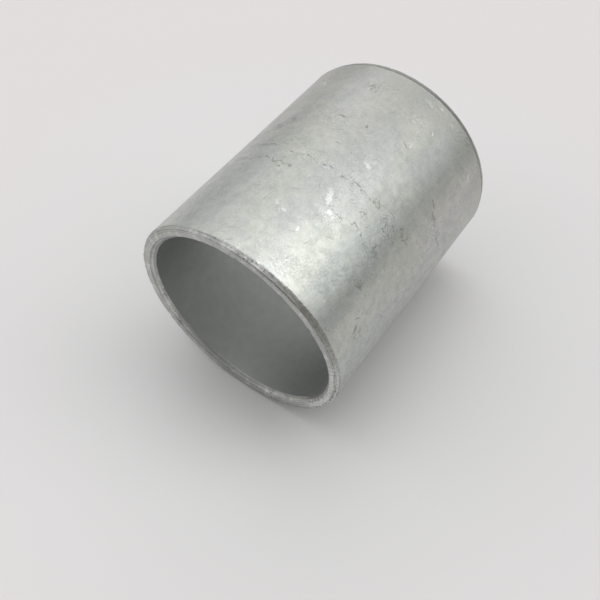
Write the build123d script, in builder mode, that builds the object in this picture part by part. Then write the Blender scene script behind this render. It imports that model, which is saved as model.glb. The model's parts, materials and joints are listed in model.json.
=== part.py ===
"""Rigid sleeve coupling: one plain round sleeve that two tubes enter, one from each end.

Millimetres, +Z up.  The sleeve lies on its side with its axis along Y, and the origin is the middle of
the bore, half way along the sleeve.  It is turned from one piece of tube and is the same at both ends:
a flat sawn and faced end, a 45 degree lead-in at the bore, and a shallow, longer bevel that breaks the
outside edge.
"""

import os

from build123d import *

# Driving dimensions
OUTSIDE_DIAMETER = 50.0
WALL = 3.0
LENGTH = 60.0
LEAD_IN = 1.0
BEVEL_DEPTH = 0.4
BEVEL_LENGTH = 0.9

outside_radius = OUTSIDE_DIAMETER / 2
bore_radius = outside_radius - WALL
half_length = LENGTH / 2

# The wall's section is drawn for the half towards +Y, in the XY plane with X as the radius, and
# mirrored across the middle of the sleeve.
with BuildPart() as sleeve:
    with BuildSketch(Plane.XY):
        with BuildLine():
            Polyline(
                (bore_radius, 0),
                (bore_radius, half_length - LEAD_IN),
                (bore_radius + LEAD_IN, half_length),
                (outside_radius - BEVEL_DEPTH, half_length),
                (outside_radius, half_length - BEVEL_LENGTH),
                (outside_radius, 0),
            )
            mirror(about=Plane.XZ)
        make_face()
    revolve(axis=Axis.Y)

sleeve.part.label = "sleeve"

os.makedirs("parts", exist_ok=True)
export_step(sleeve.part, "parts/sleeve.step")
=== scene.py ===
"""Looks of the rigid sleeve coupling: one plain metal sleeve lying on a pale floor.

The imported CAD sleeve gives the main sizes.  A finer mesh stands for it, with the dents, edge nicks and
uneven bevels of a handled part, and carries three metals: the drawn outside, the cut ends and the bore.
Lengths are in metres, or in millimetres where a name or a comment says so.  Angles round the sleeve run
from the top towards +X, and the near end is the one at -Y.
"""

import json
import math

import bpy
import numpy as np
from mathutils import Matrix, Vector


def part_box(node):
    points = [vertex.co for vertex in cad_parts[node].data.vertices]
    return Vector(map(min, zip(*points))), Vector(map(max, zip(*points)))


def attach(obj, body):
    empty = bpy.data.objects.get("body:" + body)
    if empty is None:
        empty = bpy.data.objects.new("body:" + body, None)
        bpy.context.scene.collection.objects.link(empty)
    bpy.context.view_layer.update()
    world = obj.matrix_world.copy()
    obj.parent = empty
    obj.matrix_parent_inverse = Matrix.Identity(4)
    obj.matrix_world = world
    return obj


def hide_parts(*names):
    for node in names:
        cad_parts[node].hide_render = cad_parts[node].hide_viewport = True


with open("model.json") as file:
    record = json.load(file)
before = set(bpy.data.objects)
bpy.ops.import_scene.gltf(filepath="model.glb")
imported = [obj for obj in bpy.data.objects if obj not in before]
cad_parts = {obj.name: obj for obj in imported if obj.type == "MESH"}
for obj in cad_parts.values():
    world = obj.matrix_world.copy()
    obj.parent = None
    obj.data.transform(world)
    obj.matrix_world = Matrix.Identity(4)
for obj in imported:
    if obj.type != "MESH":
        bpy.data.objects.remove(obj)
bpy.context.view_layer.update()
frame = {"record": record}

MM = 0.001

# ---------------------------------------------------------------------------------------------------
# Sizes
# ---------------------------------------------------------------------------------------------------

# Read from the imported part, apart from the bevel's depth, which the record doesn't hold
mounts = {mount["name"]: mount["dims"] for mount in frame["record"]["mounts"]}
low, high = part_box("sleeve")
HALF_LENGTH = (high.y - low.y) / 2
OUTSIDE_RADIUS = (high.x - low.x) / 2
BORE_RADIUS = mounts["bore"]["r_mm"] * MM
LEAD_IN = HALF_LENGTH - mounts["bore"]["length_mm"] * MM / 2
BEVEL_LENGTH = HALF_LENGTH - mounts["outside"]["length_mm"] * MM / 2
BEVEL_DEPTH = 0.4 * MM

# The far bevel is cut longer all the way round, and the near one on one stretch
FAR_BEVEL_EXTRA = 0.4 * MM
DEEP_BEVEL_EXTRA = 0.3 * MM

# Stretches of the near end, each by the angle of its middle and half its angle: the longer bevel, which
# is stained too, the metal that the tool tore, and the lead-in whose colour is lightened as a painted
# highlight, for the light that falls on that side of it.  The far end has the stain and the painted
# highlight on the lead-in at the same angles
DEEP_BEVEL_MIDDLE = math.radians(46)
DEEP_BEVEL_HALF_ANGLE = math.radians(28)
TORN_MIDDLE = math.radians(103)
TORN_HALF_ANGLE = math.radians(34)
LIT_LEAD_IN_MIDDLE = math.radians(-85)
LIT_LEAD_IN_HALF_ANGLE = math.radians(80)

# ---------------------------------------------------------------------------------------------------
# The sleeve's mesh
# ---------------------------------------------------------------------------------------------------

AROUND = 768
OUTSIDE_RINGS = 84
BEVEL_RINGS = 5
FACE_RINGS = 7
LEAD_IN_RINGS = 5
BORE_RINGS = 10
OUTSIDE, CUT, BORE = 0, 1, 2

# Two rings on each side of every corner keep the smooth shading crisp: their distances from the corner
# and from each other, and how much the outside's other rings crowd towards its ends
CORNER = 0.05 * MM
SUPPORT = 0.12 * MM
CROWDING = 0.11

# How uneven the tools left the ends: coarse and fine steps round them, the share of the bevel's length
# that each changes, and how much of that unevenness the bevel's depth and the lead-in have
COARSE_STEPS = 24
FINE_STEPS = 384
COARSE_WOBBLE = 0.06
FINE_WOBBLE_NEAR = 0.13
FINE_WOBBLE_FAR = 0.06
BEVEL_DEPTH_WOBBLE = 0.5
LEAD_IN_WOBBLE = 0.4

# Shallow waves of the outside: steps round it, mm along it for each step, and height in mm
WAVES = [(6, 30, 0.015), (26, 9, 0.012), (90, 40, 0.006), (60, 4, 0.003)]

random = np.random.default_rng(7)
turn = np.arange(AROUND) * 2 * math.pi / AROUND


def eased(share):
    """The share from 0 to 1 with a slow start and a slow end."""
    return share * share * (3 - 2 * share)


def wobble(steps, amount):
    """Smooth random values, one for each angle, that close on themselves and change over 1/steps turn."""
    knots = random.uniform(-1, 1, steps)
    place = turn / (2 * math.pi) * steps
    index = place.astype(int)
    share = eased(place - index)
    return amount * (knots[index] * (1 - share) + knots[(index + 1) % steps] * share)


def ripple(y, steps_around, step_along, amount):
    """Smooth random heights over (ring, angle), closing round the sleeve, for rings at the given y."""
    steps_along = int((y.max() - y.min()) / step_along) + 3
    knots = random.uniform(-1, 1, (steps_along, steps_around))
    down = (y - y.min()) / step_along
    row = down.astype(int)
    share_down = eased(down - row)
    across = np.broadcast_to(turn / (2 * math.pi) * steps_around, y.shape)
    column = across.astype(int)
    share_across = eased(across - column)
    after = (column + 1) % steps_around
    near = knots[row, column] * (1 - share_across) + knots[row, after] * share_across
    far = knots[row + 1, column] * (1 - share_across) + knots[row + 1, after] * share_across
    return amount * (near * (1 - share_down) + far * share_down)


def end_corners(side):
    """The four corners of one end's section, outside to bore, as (radius, y) over the angles.

    A saw and a hand-held deburring tool leave them a little uneven."""
    fine = FINE_WOBBLE_FAR if side > 0 else FINE_WOBBLE_NEAR
    uneven = [wobble(COARSE_STEPS, COARSE_WOBBLE) + wobble(FINE_STEPS, fine) for _ in range(4)]
    full = np.ones(AROUND)
    if side > 0:
        extra = FAR_BEVEL_EXTRA * full
    else:
        extra = DEEP_BEVEL_EXTRA * np.exp(-((turn - DEEP_BEVEL_MIDDLE) / DEEP_BEVEL_HALF_ANGLE) ** 2)
    bevel_length = BEVEL_LENGTH * (1 + uneven[0]) + extra
    bevel_depth = BEVEL_DEPTH * (1 + BEVEL_DEPTH_WOBBLE * uneven[1])
    lead_in_depth = LEAD_IN * (1 + LEAD_IN_WOBBLE * uneven[2])
    lead_in_length = LEAD_IN * (1 + LEAD_IN_WOBBLE * uneven[3])
    return [
        (OUTSIDE_RADIUS * full, side * (HALF_LENGTH - bevel_length)),
        (OUTSIDE_RADIUS - bevel_depth, side * HALF_LENGTH * full),
        (BORE_RADIUS + lead_in_depth, side * HALF_LENGTH * full),
        (BORE_RADIUS * full, side * (HALF_LENGTH - lead_in_length)),
    ]


def wall_rings():
    """(radius, y, zone) of every ring, once round the wall's section, from the near end of the outside."""
    near, far = end_corners(-1), end_corners(1)
    corners = near[:1] + far + near[:0:-1]
    counts = [OUTSIDE_RINGS, BEVEL_RINGS, FACE_RINGS, LEAD_IN_RINGS, BORE_RINGS,
              LEAD_IN_RINGS, FACE_RINGS, BEVEL_RINGS]
    zones = [OUTSIDE, CUT, CUT, CUT, BORE, CUT, CUT, CUT]
    rings = []
    for i, (count, zone) in enumerate(zip(counts, zones)):
        start, end = np.array(corners[i]), np.array(corners[(i + 1) % len(corners)])
        length = np.linalg.norm(end - start, axis=0).mean()
        first, second = CORNER / length, (CORNER + SUPPORT) / length
        shares = np.linspace(0, 1, count - 2)
        if zone == OUTSIDE:
            shares = shares - CROWDING * np.sin(2 * math.pi * shares)
        shares = second + shares * (1 - 2 * second)
        for share in (first, *shares, 1 - first):
            rings.append((*(start + (end - start) * share), zone))
    return rings


# A dent is followed out to this many times its half size, and a raised lip stands round its edge
DENT_REACH = 3.0
LIP_PLACE = 1.7
LIP_SHARPNESS = 3.0


def press(points, normals, dents):
    """Pushes the surface in at each dent: (centre, along, around, tilt, depth, lip).

    along and around are its half sizes, tilt is in radians, and lip is a share of the depth."""
    moved = np.zeros(len(points))
    for centre, along, around, tilt, depth, lip in dents:
        offset = points - centre
        close = np.flatnonzero((np.abs(offset) < DENT_REACH * max(along, around)).all(axis=1))
        offset = offset[close]
        sideways = np.cross((0, 1, 0), centre / np.linalg.norm(centre * (1, 0, 1)))
        u = offset[:, 1]
        v = offset @ sideways
        w = np.linalg.norm(offset, axis=1) ** 2 - u ** 2 - v ** 2
        u, v = u * math.cos(tilt) + v * math.sin(tilt), v * math.cos(tilt) - u * math.sin(tilt)
        reach = (u / along) ** 2 + (v / around) ** 2 + w / (along * around)
        raised = lip * np.exp(-(np.sqrt(reach) - LIP_PLACE) ** 2 * LIP_SHARPNESS)
        moved[close] -= depth * (np.exp(-reach) - raised)
    return points + normals * moved[:, None]


def at_angle(angle, radius, y):
    """The point at that angle, in radians, and radius from the axis."""
    return np.array((math.sin(angle) * radius, y, math.cos(angle) * radius))


def on_outside(angle, from_near):
    """A point of the outside: its angle in degrees, and millimetres from the near end."""
    return at_angle(math.radians(angle), OUTSIDE_RADIUS, from_near * MM - HALF_LENGTH)


# Marks that stand out: angle in degrees, mm from the near end, half length and half width in mm, tilt
# from the axis in degrees, and whether the metal there is bright, dark, scribbled with dark scratches
# or brushed with bright ones
MARKS = [
    (17.6, 21.5, 2.30, 0.55, -25, "bright"),
    (22.5, 18.8, 0.70, 0.45, -40, "bright"),
    (14.0, 27.0, 0.40, 0.30, 40, "bright"),
    (17.0, 11.5, 0.60, 0.35, -50, "bright"),
    (20.6, 33.1, 0.95, 0.50, -71, "bright"),
    (7.5, 13.2, 0.75, 0.28, -61, "bright"),
    (3.0, 13.8, 0.50, 0.25, -30, "bright"),
    (33.0, 50.8, 0.90, 0.18, -45, "bright"),
    (23.0, 49.5, 0.60, 0.20, 80, "bright"),
    (29.3, 44.2, 0.80, 0.17, -40, "bright"),
    (-33.0, 51.0, 0.90, 0.24, -30, "bright"),
    (64.0, 53.8, 1.10, 0.30, -41, "bright"),
    (23.0, 56.2, 0.26, 1.20, 14, "bright"),
    (29.0, 57.3, 0.22, 0.90, 8, "bright"),
    (9.0, 26.7, 0.90, 0.16, 85, "bright"),
    (38.0, 56.4, 0.50, 0.22, -45, "bright"),
    (-5.0, 40.7, 0.32, 1.00, 15, "dark"),
    (8.0, 41.0, 0.38, 0.38, 0, "dark"),
    (27.0, 43.3, 0.28, 0.70, 25, "dark"),
    (68.0, 7.9, 1.30, 0.22, -35, "dark"),
    (65.0, 9.4, 0.70, 0.20, 40, "dark"),
    (62.0, 39.0, 0.22, 1.60, 10, "dark"),
    (76.0, 38.3, 0.22, 2.40, -12, "dark"),
    (3.0, 33.5, 0.28, 0.45, 0, "dark"),
    (52.0, 29.3, 0.35, 0.45, 0, "dark"),
    (57.0, 40.3, 0.20, 1.20, 20, "dark"),
    (47.0, 26.3, 2.60, 3.40, 20, "scribbled"),
    (46.5, 20.5, 1.80, 2.60, 0, "scribbled"),
    (37.0, 28.2, 1.10, 2.20, -10, "scribbled"),
    (33.0, 23.9, 1.10, 1.70, 0, "scribbled"),
    (-31.0, 35.0, 5.00, 1.80, 48, "scribbled"),
    (-25.0, 28.0, 1.20, 4.60, -5, "scribbled"),
    (-11.0, 22.3, 1.00, 3.00, 8, "scribbled"),
    (69.0, 38.8, 1.00, 4.60, -4, "scribbled"),
    (72.0, 8.2, 1.80, 1.20, 0, "scribbled"),
    (54.0, 13.5, 1.30, 1.50, 0, "scribbled"),
    (57.0, 29.0, 1.60, 2.20, -20, "scribbled"),
    (-5.0, 52.0, 1.60, 2.20, 30, "scribbled"),
    (6.5, 13.4, 1.80, 3.20, 0, "brushed"),
    (17.5, 13.2, 1.20, 2.20, 0, "brushed"),
    (19.5, 19.0, 3.40, 3.00, -20, "brushed"),
    (10.0, 27.5, 1.50, 3.60, 0, "brushed"),
    (21.0, 33.5, 1.80, 1.80, 0, "brushed"),
    (13.0, 38.0, 1.60, 3.00, 0, "brushed"),
    (24.0, 50.5, 1.50, 3.00, 0, "brushed"),
    (24.0, 56.6, 1.20, 3.60, 10, "brushed"),
    (63.0, 54.0, 1.40, 2.60, 0, "brushed"),
    (-34.0, 51.5, 1.80, 2.40, 0, "brushed"),
    (125.0, 40.0, 1.30, 0.35, -35, "bright"),
    (-150.0, 36.0, 1.50, 0.40, 25, "bright"),
    (-72.0, 14.0, 0.80, 0.35, 40, "bright"),
    (-85.0, 30.0, 0.30, 0.90, 20, "dark"),
    (-65.0, 50.0, 2.00, 2.40, 10, "scribbled"),
    (-95.0, 20.0, 1.40, 3.00, -15, "scribbled"),
    (-90.0, 38.0, 2.40, 3.00, 0, "brushed"),
    (160.0, 30.0, 3.00, 3.00, 0, "brushed"),
]

# Dents of the bright and dark marks: their depth, and their least half size in mm
MARK_DENT_DEPTH = 0.018 * MM
SMALLEST_MARK_DENT = 0.4

# More dents, scattered between these places in mm from the near end, with a lip that is a share of
# their depth
SCATTERED_DENTS = 150
SCATTERED_FROM = 2
SCATTERED_TO = 58
SCATTERED_LIP = 0.2


def all_dents():
    """The marks above as shallow dents, and more dents scattered over the whole outside."""
    dents = []
    for angle, from_near, along, around, tilt, look in MARKS:
        if look in ("bright", "dark"):
            dents.append((
                on_outside(angle, from_near), max(along, SMALLEST_MARK_DENT) * MM,
                max(around, SMALLEST_MARK_DENT) * MM, math.radians(tilt), MARK_DENT_DEPTH, 0.0,
            ))
    for _ in range(SCATTERED_DENTS):
        size = random.uniform(0.4, 1.1) * MM
        dents.append((
            on_outside(random.uniform(0, 360), random.uniform(SCATTERED_FROM, SCATTERED_TO)), size,
            size * random.uniform(0.5, 1.0), random.uniform(0, math.pi),
            random.uniform(0.006, 0.020) * MM, SCATTERED_LIP,
        ))
    return dents


# Nicks for each corner that has them, this share as deep at the far end, and more for each corner of the
# torn stretch, over this share of its half angle
NICKS = 34
FAR_NICK_SHARE = 0.5
TORN_NICKS = 22
TORN_NICK_SPREAD = 0.8


def edge_nicks():
    """Small nicks along the corners of both ends, with deeper ones on the torn stretch."""
    corners = [(OUTSIDE_RADIUS, HALF_LENGTH - BEVEL_LENGTH), (OUTSIDE_RADIUS - BEVEL_DEPTH, HALF_LENGTH),
               (BORE_RADIUS + LEAD_IN, HALF_LENGTH)]
    nicks = []
    for side in (-1, 1):
        for radius, y in corners:
            for _ in range(NICKS):
                centre = at_angle(random.uniform(0, 2 * math.pi), radius, side * y)
                size = random.uniform(0.18, 0.42) * MM
                depth = random.uniform(0.02, 0.09) * MM * (FAR_NICK_SHARE if side > 0 else 1.0)
                nicks.append((centre, size, size * random.uniform(0.8, 1.8), 0.0, depth, 0.0))
    for radius, y in corners[1:]:
        for _ in range(TORN_NICKS):
            spread = random.uniform(-TORN_NICK_SPREAD, TORN_NICK_SPREAD)
            centre = at_angle(TORN_MIDDLE + TORN_HALF_ANGLE * spread, radius, -y)
            size = random.uniform(0.22, 0.45) * MM
            nicks.append((centre, size, size, 0.0, random.uniform(0.06, 0.20) * MM, 0.0))
    return nicks


def build_sleeve():
    """The sleeve as one closed mesh of quads, whose waves only lower the outside."""
    rings = wall_rings()
    radius = np.array([ring[0] for ring in rings])
    y = np.array([ring[1] for ring in rings])
    zone = np.array([ring[2] for ring in rings])
    outside = (zone == OUTSIDE)[:, None]
    waves = sum(ripple(y, steps, along * MM, height * MM) for steps, along, height in WAVES)
    lowered = sum(height for _, _, height in WAVES) * MM
    radius = radius + np.where(outside, waves - lowered, 0.0)
    points = np.stack([radius * np.sin(turn), y, radius * np.cos(turn)], axis=-1).reshape(-1, 3)

    count = len(rings)
    ring, column = np.meshgrid(np.arange(count), np.arange(AROUND), indexing="ij")
    next_ring, next_column = (ring + 1) % count, (column + 1) % AROUND
    quads = np.stack([ring * AROUND + column, ring * AROUND + next_column,
                      next_ring * AROUND + next_column, next_ring * AROUND + column], axis=-1)
    quads = quads.reshape(-1, 4)

    mesh = bpy.data.meshes.new("sleeve_body")
    mesh.from_pydata(points.tolist(), [], quads.tolist())
    normals = np.empty(len(points) * 3, np.float32)
    mesh.vertex_normals.foreach_get("vector", normals)
    points = press(points, normals.reshape(-1, 3).astype(float), all_dents() + edge_nicks())
    mesh.vertices.foreach_set("co", points.astype(np.float32).ravel())

    # The narrow strip over a corner between two zones is cut metal
    over_corner = np.repeat(np.roll(zone, -1) != zone, AROUND)
    slots = np.where(over_corner, CUT, np.repeat(zone, AROUND))
    mesh.polygons.foreach_set("material_index", slots.astype(np.int32))
    mesh.polygons.foreach_set("use_smooth", np.ones(len(quads), bool))

    mesh.update()
    return mesh


# ---------------------------------------------------------------------------------------------------
# Material helpers
# ---------------------------------------------------------------------------------------------------


def add(tree, kind, inputs=None, **settings):
    """A node of that kind, with its settings and its inputs, which may be values or other outputs."""
    made = tree.nodes.new(kind)
    for name, value in settings.items():
        setattr(made, name, value)
    for name, value in (inputs or {}).items():
        if isinstance(value, bpy.types.NodeSocket):
            tree.links.new(value, made.inputs[name])
        else:
            made.inputs[name].default_value = value
    return made


def maths(tree, operation, first, second=0.0):
    return add(tree, "ShaderNodeMath", {0: first, 1: second}, operation=operation).outputs[0]


def plus(tree, first, second):
    return maths(tree, "ADD", first, second)


def minus(tree, first, second):
    return maths(tree, "SUBTRACT", first, second)


def times(tree, first, second):
    return maths(tree, "MULTIPLY", first, second)


def most(tree, first, second):
    return maths(tree, "MAXIMUM", first, second)


def apart(tree, first, second):
    """How far apart two values are."""
    return maths(tree, "ABSOLUTE", minus(tree, first, second))


def vector_maths(tree, operation, first, second=(0, 0, 0), output="Vector"):
    made = add(tree, "ShaderNodeVectorMath", {0: first, 1: second}, operation=operation)
    return made.outputs[output]


def stretched(tree, vector, scale):
    return vector_maths(tree, "MULTIPLY", vector, scale)


def length_of(tree, vector):
    return vector_maths(tree, "LENGTH", vector, output="Value")


def noise(tree, vector, scale, detail=3.0, roughness=0.55, distortion=0.0):
    """Cloudy values of about 0.3 to 0.7, where scale is in features per metre."""
    return add(tree, "ShaderNodeTexNoise", {
        "Vector": vector, "Scale": scale, "Detail": detail, "Roughness": roughness,
        "Distortion": distortion}).outputs["Fac"]


def between(tree, value, start, end, low=0.0, high=1.0):
    """low where value is at start, high where it is at end, smooth between and held beyond them.

    SMOOTHSTEP holds its ends by itself, and a clamp would only take room in the shader."""
    return add(tree, "ShaderNodeMapRange", {
        "Value": value, "From Min": start, "From Max": end, "To Min": low, "To Max": high},
        interpolation_type="SMOOTHSTEP", clamp=False).outputs["Result"]


def blend(tree, share, first, second):
    """A colour: first where share is 0, second where it is 1."""
    mix = add(tree, "ShaderNodeMix", data_type="RGBA")
    sockets = {socket.identifier: socket for socket in mix.inputs}
    for identifier, value in (("Factor_Float", share), ("A_Color", first), ("B_Color", second)):
        if isinstance(value, bpy.types.NodeSocket):
            tree.links.new(value, sockets[identifier])
        else:
            sockets[identifier].default_value = value
    return next(socket for socket in mix.outputs if socket.identifier == "Result_Color")


def framed(tree, where, centre, tilt, size):
    """The position seen from centre, turned by tilt in degrees, in units of size."""
    return add(tree, "ShaderNodeMapping", {
        "Vector": where, "Location": (*centre, 0), "Rotation": (0, 0, math.radians(tilt)),
        "Scale": (*size, 1)}, vector_type="TEXTURE").outputs[0]


def spots(tree, where, kind):
    """1 inside the marks that look so, which are ellipses on the plane of where, and 0 outside them."""
    total = 0.0
    for angle, from_near, along, around, tilt, look in MARKS:
        if look == kind:
            arc = math.radians(angle) * OUTSIDE_RADIUS / MM
            reach = length_of(tree, framed(tree, where, (arc, from_near), -tilt, (around, along)))
            total = most(tree, between(tree, reach, 1.15, 0.55), total)
    return total


# A scratch fills about this share of its cell
SCRATCH_SHARE = 0.6


def short_scratches(tree, where, tilt, long, wide, keep):
    """Straight scratches at one angle to the way round, of that size in the units of where.

    Each lies in a cell of its own, and keep is the share of the cells that have one."""
    cell = framed(tree, where, (0, 0), tilt, (long / SCRATCH_SHARE, wide / SCRATCH_SHARE))
    cells = add(tree, "ShaderNodeTexVoronoi", {"Vector": cell, "Scale": 1.0}, voronoi_dimensions="2D")
    chance = add(tree, "ShaderNodeSeparateXYZ", {0: cells.outputs["Color"]}).outputs["X"]
    line = between(tree, cells.outputs["Distance"], 0.32, 0.16)
    return times(tree, line, maths(tree, "LESS_THAN", chance, keep))


def any_scratch(tree, where, kinds, keep):
    """Scratches of every (tilt, length, width) in kinds together."""
    total = 0.0
    for tilt, long, wide in kinds:
        total = most(tree, total, short_scratches(tree, where, tilt, long, wide, keep))
    return total


def metal(name, build):
    """A metal material: build(tree, place, shader) adds its colour, roughness and bump."""
    material = bpy.data.materials.new(name)
    material.use_nodes = True
    tree = material.node_tree
    shader = tree.nodes["Principled BSDF"]
    shader.inputs["Metallic"].default_value = 1.0
    place = tree.nodes.new("ShaderNodeTexCoord").outputs["Object"]
    build(tree, place, shader)
    return material


def bump(tree, shader, layers):
    """One bump from several layers of (height from 0 to 1, depth in metres)."""
    height = 0.0
    for layer, depth in layers:
        height = add(tree, "ShaderNodeMath", {0: layer, 1: depth, 2: height},
                     operation="MULTIPLY_ADD").outputs[0]
    normal = add(tree, "ShaderNodeBump", {"Height": height, "Distance": 1.0}).outputs["Normal"]
    tree.links.new(normal, shader.inputs["Normal"])


# ---------------------------------------------------------------------------------------------------
# The metals
# ---------------------------------------------------------------------------------------------------

METAL_COOL = (0.465, 0.479, 0.459, 1)
METAL_WARM = (0.592, 0.593, 0.557, 1)
# The colour of bright rubbed and torn metal, also used for the painted highlight on the lead-in
BRIGHT_METAL_AND_HIGHLIGHT = (0.80, 0.81, 0.79, 1)
BORE_COOL = (0.628, 0.653, 0.641, 1)
BORE_WARM = (0.688, 0.698, 0.674, 1)
# The dark colour of dirt, scratches and torn metal, also used for the painted shade towards the far end
GRIME_AND_SHADE = (0.15, 0.15, 0.135, 1)
STAIN = (0.27, 0.235, 0.19, 1)

# Faint tints that multiply the outside's colour: two in patches, and two that change along the sleeve
FILM_GREEN = (1.0, 1.004, 0.982, 1)
FILM_BLUE = (0.990, 1.002, 1.022, 1)
FILM_NEAR = (0.993, 1.004, 1.0, 1)
FILM_FAR = (1.007, 0.996, 1.0, 1)

# Short scratches: tilt from the way round in degrees, length and width in mm
BRIGHT_STROKES = [(65, 1.3, 0.26), (-40, 1.0, 0.22), (100, 1.6, 0.18)]
DARK_STROKES = [(30, 2.2, 0.17), (-48, 1.6, 0.18), (75, 2.6, 0.15)]

# Broken scratches that wander round the sleeve: mm from the near end at the top before they wander, mm
# further along for each mm round, and from where to where they run in mm round from the top.  Wandering
# takes them further along, by about half of WANDER_MM on average
WANDERING = [
    (22.6, 0.05, (-15.0, 23.0)),
    (18.2, -0.02, (-17.0, 3.0)),
    (15.0, 0.02, (8.0, 20.0)),
]
WANDER_MM = 9.0

# How strongly each kind of mark shows in the colour
RUBBED_SHARE = 0.72
DARK_MARK_SHARE = 0.62
# Painted shade that darkens the outside towards the far end, not a mark
FAR_END_SHADE_SHARE = 0.16
DEEP_LINE_SHARE = 0.42
TEAR_SHARE = 0.72
BEVEL_GRIME_SHARE = 0.20
# The last is a painted highlight on one side of the lead-in, not a mark
LEAD_IN_HIGHLIGHT_SHARE = 0.6


def unrolled(tree, place):
    """The outside laid flat, in millimetres: round from the top, and along from the near end."""
    parts = add(tree, "ShaderNodeSeparateXYZ", {0: place})
    angle = maths(tree, "ARCTAN2", parts.outputs["X"], parts.outputs["Z"])
    around = times(tree, angle, OUTSIDE_RADIUS / MM)
    along = times(tree, plus(tree, parts.outputs["Y"], HALF_LENGTH), 1 / MM)
    return add(tree, "ShaderNodeCombineXYZ", {"X": around, "Y": along}).outputs[0], around, along


def shaken(tree, flat, place, scale, amount):
    """The flat position shifted irregularly by up to about half the amount, for ragged outlines."""
    cloud = add(tree, "ShaderNodeTexNoise", {"Vector": place, "Scale": scale, "Detail": 3.0})
    shift = vector_maths(tree, "SUBTRACT", cloud.outputs["Color"], (0.5, 0.5, 0.5))
    return vector_maths(tree, "ADD", flat, stretched(tree, shift, (amount, amount, 0)))


def angle_from(tree, place, middle):
    """Radians round the axis between the place and the middle angle."""
    ray = (math.sin(middle), 0, math.cos(middle))
    flat = vector_maths(tree, "NORMALIZE", stretched(tree, place, (1, 0, 1)))
    return maths(tree, "ARCCOSINE", vector_maths(tree, "DOT_PRODUCT", flat, ray, output="Value"))


def wandering_scratches(tree, around, along, place):
    """Thin scratches with thicker and missing stretches."""
    wander = noise(tree, place, 150, detail=5, roughness=0.68)
    pieces = noise(tree, place, 620, detail=4, roughness=0.7)
    broken = between(tree, pieces, 0.41, 0.54)
    width = between(tree, pieces, 0.48, 0.66, 0.15, 0.27)
    total = 0.0
    for start, slope, (first, last) in WANDERING:
        line = plus(tree, times(tree, wander, WANDER_MM), start)
        line = plus(tree, times(tree, around, slope), line)
        away = apart(tree, along, line)
        inside = between(tree, maths(tree, "DIVIDE", away, width), 1.0, 0.3)
        ends = times(tree, between(tree, around, first - 2, first + 3),
                     between(tree, around, last + 2, last - 3))
        total = most(tree, total, times(tree, inside, ends))
    return times(tree, total, broken)


def rubbed_bright(tree, place, ragged, bent, speckle):
    """How far the outside is rubbed: brushed strokes, flecks in worn patches and the bright marks."""
    worn_patch = between(tree, noise(tree, place, 130, detail=3), 0.48, 0.66)
    brushed = most(tree, spots(tree, ragged, "brushed"), times(tree, worn_patch, 0.30))
    keep = between(tree, brushed, 0.0, 1.0, 0.0, 0.26)
    strokes = times(tree, any_scratch(tree, bent, BRIGHT_STROKES, keep),
                    between(tree, speckle, 0.36, 0.54, 0.0, 0.60))
    flecks = times(tree, worn_patch, between(tree, speckle, 0.56, 0.72, 0.0, 0.45))
    rubbed = most(tree, strokes, flecks)
    marks = times(tree, spots(tree, ragged, "bright"), between(tree, speckle, 0.24, 0.38))
    return most(tree, rubbed, marks)


def darkened(tree, place, ragged, bent, speckle, worn, around, along):
    """How far the outside is darkened: hair-like, short and long scratches, dark marks and pits."""
    hair = noise(tree, place, 420, detail=4, roughness=0.60, distortion=0.3)
    hair = between(tree, apart(tree, hair, 0.5), 0.040, 0.012)
    patches = most(tree, spots(tree, ragged, "scribbled"), times(tree, worn, 0.30))
    keep = between(tree, patches, 0.0, 1.0, 0.01, 0.28)
    scratches = most(tree, times(tree, hair, patches), any_scratch(tree, bent, DARK_STROKES, keep))
    scratches = times(tree, scratches, between(tree, speckle, 0.40, 0.52))
    marks = times(tree, spots(tree, ragged, "dark"), between(tree, speckle, 0.66, 0.56))
    marks = most(tree, marks, wandering_scratches(tree, around, along, place))
    pits = between(tree, noise(tree, place, 1000, detail=2), 0.72, 0.79)
    scratch_share = between(tree, patches, 0.3, 1.0, 0.40, 0.54)
    return most(tree, times(tree, scratches, scratch_share),
                times(tree, most(tree, marks, pits), DARK_MARK_SHARE))


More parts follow.
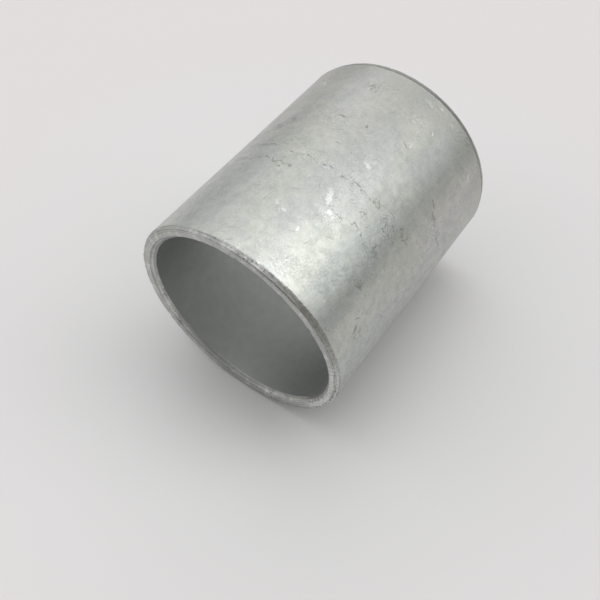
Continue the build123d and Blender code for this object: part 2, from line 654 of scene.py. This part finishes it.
def drawn_outside(tree, place, shader):
    """Satin drawn tube: cloudy, with fine lines along it, grain, pits, scratches and rubbed spots, and
    painted shade towards the far end.
    """
    flat, around, along = unrolled(tree, place)
    ragged = shaken(tree, flat, place, 1500, 1.6)
    cloud = noise(tree, place, 560, detail=4, roughness=0.6)
    grain = noise(tree, place, 2600, detail=2, roughness=0.7)
    lines = noise(tree, stretched(tree, place, (1, 0.03, 1)), 2200, detail=3)
    tint = noise(tree, place, 230, detail=2)
    speckle = noise(tree, place, 1500, detail=4, roughness=0.68)
    worn = between(tree, noise(tree, place, 95, detail=2), 0.48, 0.62)
    bent = shaken(tree, flat, place, 260, 1.2)
    rubbed = rubbed_bright(tree, place, ragged, bent, speckle)
    dark = darkened(tree, place, ragged, bent, speckle, worn, around, along)

    fine = times(tree, minus(tree, grain, 0.5), between(tree, worn, 0.0, 1.0, 0.45, 0.95))
    mottle = plus(tree, times(tree, cloud, 0.55), fine)
    mottle = plus(tree, mottle, times(tree, tint, 0.30))
    mottle = plus(tree, mottle, times(tree, lines, 0.15))
    colour = blend(tree, between(tree, mottle, 0.30, 0.70), METAL_COOL, METAL_WARM)
    hue = noise(tree, stretched(tree, place, (1, 0.4, 1)), 110, detail=3, roughness=0.6)
    hue = blend(tree, between(tree, hue, 0.40, 0.60), FILM_GREEN, FILM_BLUE)
    colour = stretched(tree, colour, hue)
    film = blend(tree, between(tree, along, 10.0, 45.0), FILM_NEAR, FILM_FAR)
    colour = stretched(tree, colour, film)
    colour = blend(tree, times(tree, rubbed, RUBBED_SHARE), colour, BRIGHT_METAL_AND_HIGHLIGHT)
    colour = blend(tree, dark, colour, GRIME_AND_SHADE)
    # Painted shade: the outside's colour darkens towards the far end, where the light on it fades
    far_end_shade = times(tree, between(tree, along, 50.0, 59.0, 0.0, FAR_END_SHADE_SHARE),
                    between(tree, cloud, 0.35, 0.58))
    colour = blend(tree, far_end_shade, colour, GRIME_AND_SHADE)
    tree.links.new(colour, shader.inputs["Base Color"])

    rough = plus(tree, between(tree, along, 5.0, 45.0, -0.03, 0.03),
                 between(tree, mottle, 0.32, 0.68, 0.41, 0.34))
    rough = minus(tree, rough, times(tree, rubbed, 0.08))
    tree.links.new(rough, shader.inputs["Roughness"])
    bump(tree, shader, [
        (lines, 0.010 * MM),
        (cloud, 0.022 * MM),
        (speckle, 0.009 * MM),
        (grain, 0.014 * MM),
    ])


def torn_nicks(tree, radius, torn):
    """Nicks beside the bevel and along the edge of the lead-in, and bites out of the bore's edge."""
    beside_bevel = apart(tree, radius, OUTSIDE_RADIUS - 0.62 * MM)
    outer = times(tree, between(tree, beside_bevel, 0.22 * MM, 0.10 * MM),
                  between(tree, torn, 0.46, 0.54))
    inner_edge = between(tree, radius, BORE_RADIUS + LEAD_IN + 0.25 * MM, BORE_RADIUS + LEAD_IN * 0.5)
    inner = times(tree, inner_edge, between(tree, torn, 0.50, 0.58))
    nicks = most(tree, outer, inner)
    uneven = times(tree, minus(tree, torn, 0.5), 1.8 * MM)
    bites = between(tree, plus(tree, radius, uneven), BORE_RADIUS + 0.60 * MM, BORE_RADIUS + 0.40 * MM)
    return most(tree, nicks, bites)


def cut_end(tree, place, shader):
    """Sawn and filed metal: uneven lines that run round the axis, duller at the bevel, with torn spots,
    and a painted highlight on one side of the lead-in.

    One stretch of the near end is torn more than the rest, with rows of nicks along both its edges."""
    radius = length_of(tree, stretched(tree, place, (1, 0, 1)))
    axial = add(tree, "ShaderNodeSeparateXYZ", {0: place}).outputs["Y"]
    wander = times(tree, noise(tree, place, 90, detail=3), 0.8 * MM)
    section = add(tree, "ShaderNodeCombineXYZ", {
        "X": plus(tree, radius, wander), "Y": axial, "Z": times(tree, wander, 0.5)}).outputs[0]
    lines = noise(tree, section, 3800, detail=4, roughness=0.6)
    deep_lines = between(tree, noise(tree, section, 2300, detail=2), 0.53, 0.60)
    torn = noise(tree, place, 1900, detail=4, roughness=0.68)
    patches = noise(tree, place, 75, detail=2)
    cloud = noise(tree, place, 480, detail=4, roughness=0.6)

    torn_stretch = between(tree, angle_from(tree, place, TORN_MIDDLE),
                           TORN_HALF_ANGLE, TORN_HALF_ANGLE * 0.6)
    torn_stretch = times(tree, torn_stretch, maths(tree, "LESS_THAN", axial, 0.0))
    tear = times(tree, between(tree, torn, 0.54, 0.62), between(tree, patches, 0.40, 0.58))
    tear = most(tree, tear, times(tree, torn_nicks(tree, radius, torn), torn_stretch))
    bright = times(tree, torn_stretch, between(tree, torn, 0.60, 0.50, 0.0, 0.85))
    bright = most(tree, between(tree, cloud, 0.5, 0.7, 0.0, 0.55), bright)
    bevel = between(tree, radius, OUTSIDE_RADIUS - 0.50 * MM, OUTSIDE_RADIUS - 0.35 * MM)
    lead_in = between(tree, radius, BORE_RADIUS + LEAD_IN, BORE_RADIUS + LEAD_IN * 0.8)
    # Painted highlight: the lead-in's colour is lightened on one side, for the light that falls on it
    # there
    lead_in_highlight = between(tree, angle_from(tree, place, LIT_LEAD_IN_MIDDLE),
                      LIT_LEAD_IN_HALF_ANGLE, LIT_LEAD_IN_HALF_ANGLE * 0.5)
    stained = between(tree, angle_from(tree, place, DEEP_BEVEL_MIDDLE), DEEP_BEVEL_HALF_ANGLE, 0.0)
    stained = times(tree, times(tree, stained, bevel), between(tree, cloud, 0.35, 0.55, 0.1, 0.5))

    mottle = plus(tree, times(tree, lines, 0.62), times(tree, torn, 0.38))
    colour = blend(tree, between(tree, mottle, 0.42, 0.58), METAL_COOL, METAL_WARM)
    colour = blend(tree, bright, colour, BRIGHT_METAL_AND_HIGHLIGHT)
    # The painted highlight on the lead-in
    colour = blend(tree, times(tree, times(tree, lead_in, lead_in_highlight), LEAD_IN_HIGHLIGHT_SHARE), colour, BRIGHT_METAL_AND_HIGHLIGHT)
    colour = blend(tree, times(tree, deep_lines, DEEP_LINE_SHARE), colour, GRIME_AND_SHADE)
    colour = blend(tree, times(tree, tear, TEAR_SHARE), colour, GRIME_AND_SHADE)
    colour = blend(tree, times(tree, bevel, BEVEL_GRIME_SHARE), colour, GRIME_AND_SHADE)
    colour = blend(tree, stained, colour, STAIN)
    tree.links.new(colour, shader.inputs["Base Color"])

    rough = plus(tree, between(tree, cloud, 0.35, 0.65, 0.50, 0.36), times(tree, bevel, 0.08))
    tree.links.new(rough, shader.inputs["Roughness"])
    bump(tree, shader, [
        (lines, 0.06 * MM),
        (deep_lines, -0.03 * MM),
        (torn, 0.07 * MM),
    ])


def smooth_bore(tree, place, shader):
    """The bore: clean, smoother metal with faint lines along it."""
    cloud = noise(tree, place, 420, detail=4)
    lines = noise(tree, stretched(tree, place, (1, 0.04, 1)), 1800, detail=3)
    colour = blend(tree, between(tree, cloud, 0.25, 0.75), BORE_COOL, BORE_WARM)
    tree.links.new(colour, shader.inputs["Base Color"])
    tree.links.new(between(tree, cloud, 0.25, 0.75, 0.45, 0.39), shader.inputs["Roughness"])
    bump(tree, shader, [(lines, 0.008 * MM), (cloud, 0.010 * MM)])


sleeve = bpy.data.objects.new("sleeve_metal", build_sleeve())
bpy.context.scene.collection.objects.link(sleeve)
for name, build in (("drawn_outside", drawn_outside), ("cut_end", cut_end), ("smooth_bore", smooth_bore)):
    sleeve.data.materials.append(metal(name, build))
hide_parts("sleeve")
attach(sleeve, "root")

# ---------------------------------------------------------------------------------------------------
# Floor, light and camera
# ---------------------------------------------------------------------------------------------------

# The floor's half side, its colours, and from where to where each changes to the next, in metres from
# the middle of the sleeve
FLOOR_REACH = 2.0
FLOOR_NEAR = (0.835, 0.828, 0.825, 1)
FLOOR_FAR = (0.862, 0.822, 0.826, 1)
FLOOR_BEYOND = (0.822, 0.832, 0.820, 1)
NEAR_TO_FAR = (0.05, 0.13)
FAR_TO_BEYOND = (0.17, 0.30)

# Soft lights at a distance: azimuth, elevation and angle to the edge in degrees, strength, tint
SOFT_LIGHTS = {
    "overhead": (-34, 79, 29, 1.79, (1, 1, 1)),
    "right_window": (44, 57, 25, 1.98, (1, 1, 0.99)),
    "right_wall": (55, 30, 26, 1.07, (0.97, 1, 0.99)),
    "left_room": (-106, 38, 61, 0.80, (0.99, 0.99, 1)),
    "back_low": (-36, 23, 46, 0.36, (0.99, 0.99, 1)),
    "back_high": (-23, 33, 35, 0.39, (1, 1, 0.985)),
}
AMBIENT = 0.175

# The camera: its angle from -Y towards +X and its angle above the floor, seen from the point that it
# looks at, its distance from there in metres, and its lens
VIEW_AZIMUTH = math.radians(35.41)
VIEW_ELEVATION = math.radians(54.79)
VIEW_TARGET = Vector((0.00708, -0.01734, 0.0))
VIEW_DISTANCE = 0.15034
LENS_MM = 43.22
SENSOR_MM = 36.0
NEAREST_SEEN = 0.01


def make_floor():
    """A plain pale surface, neutral round the sleeve, faintly pink further off and neutral beyond."""
    mesh = bpy.data.meshes.new("floor")
    level = -OUTSIDE_RADIUS
    corners = [(-1, -1), (1, -1), (1, 1), (-1, 1)]
    mesh.from_pydata([(x * FLOOR_REACH, y * FLOOR_REACH, level) for x, y in corners], [], [(0, 1, 2, 3)])
    floor = bpy.data.objects.new("floor", mesh)
    bpy.context.scene.collection.objects.link(floor)
    material = bpy.data.materials.new("pale_floor")
    material.use_nodes = True
    tree = material.node_tree
    shader = tree.nodes["Principled BSDF"]
    place = tree.nodes.new("ShaderNodeTexCoord").outputs["Object"]
    distance = length_of(tree, place)
    colour = blend(tree, between(tree, distance, *NEAR_TO_FAR), FLOOR_NEAR, FLOOR_FAR)
    colour = blend(tree, between(tree, distance, *FAR_TO_BEYOND), colour, FLOOR_BEYOND)
    tree.links.new(colour, shader.inputs["Base Color"])
    shader.inputs["Roughness"].default_value = 0.9
    shader.inputs["Specular IOR Level"].default_value = 0.0
    mesh.materials.append(material)


def towards(azimuth, elevation):
    """The direction at that azimuth, from +Y towards +X, and elevation, in radians."""
    return Vector((math.sin(azimuth) * math.cos(elevation), math.cos(azimuth) * math.cos(elevation),
                   math.sin(elevation)))


def make_lights():
    """A dim world with soft round lights in it, brightest at their middles."""
    world = bpy.data.worlds.new("studio")
    bpy.context.scene.world = world
    world.use_nodes = True
    tree = world.node_tree
    direction = tree.nodes.new("ShaderNodeTexCoord").outputs["Generated"]
    total = (AMBIENT, AMBIENT, AMBIENT)
    for azimuth, elevation, edge, strength, tint in SOFT_LIGHTS.values():
        middle = towards(math.radians(azimuth), math.radians(elevation))
        cosine = vector_maths(tree, "DOT_PRODUCT", direction, middle, output="Value")
        light = between(tree, cosine, math.cos(math.radians(edge)), 1.0, 0.0, strength)
        total = add(tree, "ShaderNodeVectorMath", {0: tint, 1: light, 2: total},
                    operation="MULTIPLY_ADD").outputs[0]
    tree.links.new(total, tree.nodes["Background"].inputs["Color"])


def make_camera():
    """Looks down at the near end from the right, at the angle of the reference picture."""
    back = towards(math.pi - VIEW_AZIMUTH, VIEW_ELEVATION)
    camera = bpy.data.objects.new("camera", bpy.data.cameras.new("camera"))
    camera.data.lens = LENS_MM
    camera.data.sensor_width = SENSOR_MM
    camera.data.clip_start = NEAREST_SEEN
    facing = back.to_track_quat("Z", "Y").to_matrix().to_4x4()
    camera.matrix_world = Matrix.Translation(VIEW_TARGET + back * VIEW_DISTANCE) @ facing
    bpy.context.scene.collection.objects.link(camera)
    bpy.context.scene.camera = camera


make_floor()
make_lights()
make_camera()
bpy.context.scene.view_settings.view_transform = "Standard"
